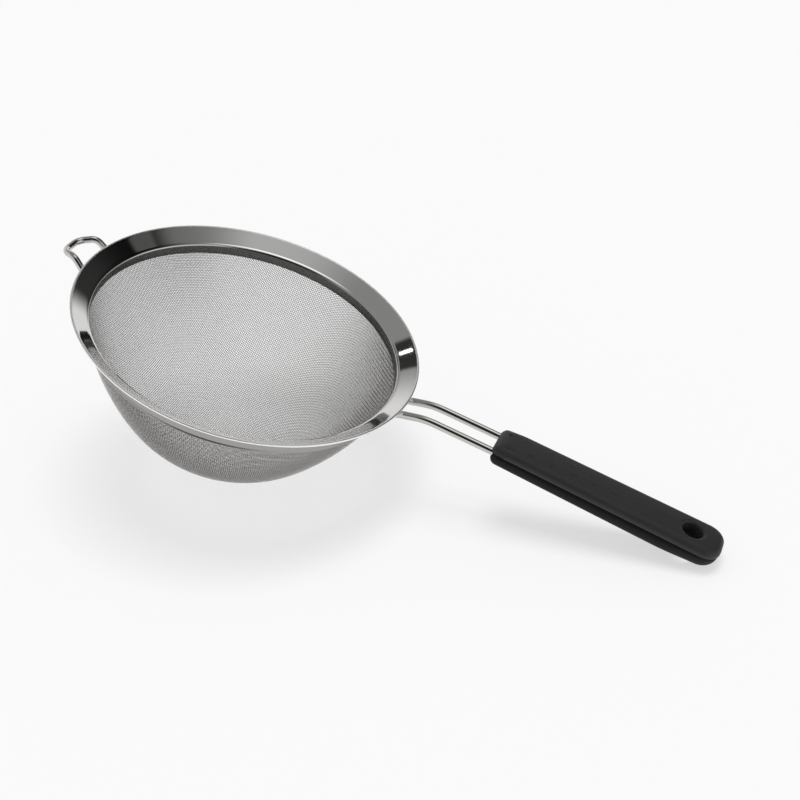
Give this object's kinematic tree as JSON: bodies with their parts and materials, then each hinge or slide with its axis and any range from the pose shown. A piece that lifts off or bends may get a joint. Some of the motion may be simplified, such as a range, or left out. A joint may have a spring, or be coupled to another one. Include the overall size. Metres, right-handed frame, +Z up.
{
  "type": "mesh strainer",
  "caption": "Round-bottomed fine-mesh strainer with a hemmed flange rim, a wire rest loop, a double-rod handle and a soft-topped grip with a hang hole.",
  "frame": {"origin": "on the table, under the middle of the strainer's bounding box, as the strainer rests on the bottom of its bowl and the tail of its grip", "axes": "+X towards the handle, +Z up from the table; the bowl's axis leans 16.48 degrees from +Z towards +X"},
  "size_m": [0.4208, 0.216, 0.133],
  "materials": {
    "polished_steel": "mirror polished stainless steel",
    "polished_rod": "polished stainless steel rod",
    "satin_steel": "satin stainless steel",
    "woven_wire": "drawn stainless steel wire, plain weave",
    "rigid_black": "matte black",
    "soft_black": "soft matte black"
  },
  "bodies": {
    "root": {"rim_ring": "polished_steel", "mesh_bowl": "woven_wire", "clamp_band": "satin_steel", "handle_frame": "polished_rod", "rest_loop": "polished_rod", "grip_body": "rigid_black", "grip_cover": "soft_black"}
  },
  "joints": []
}
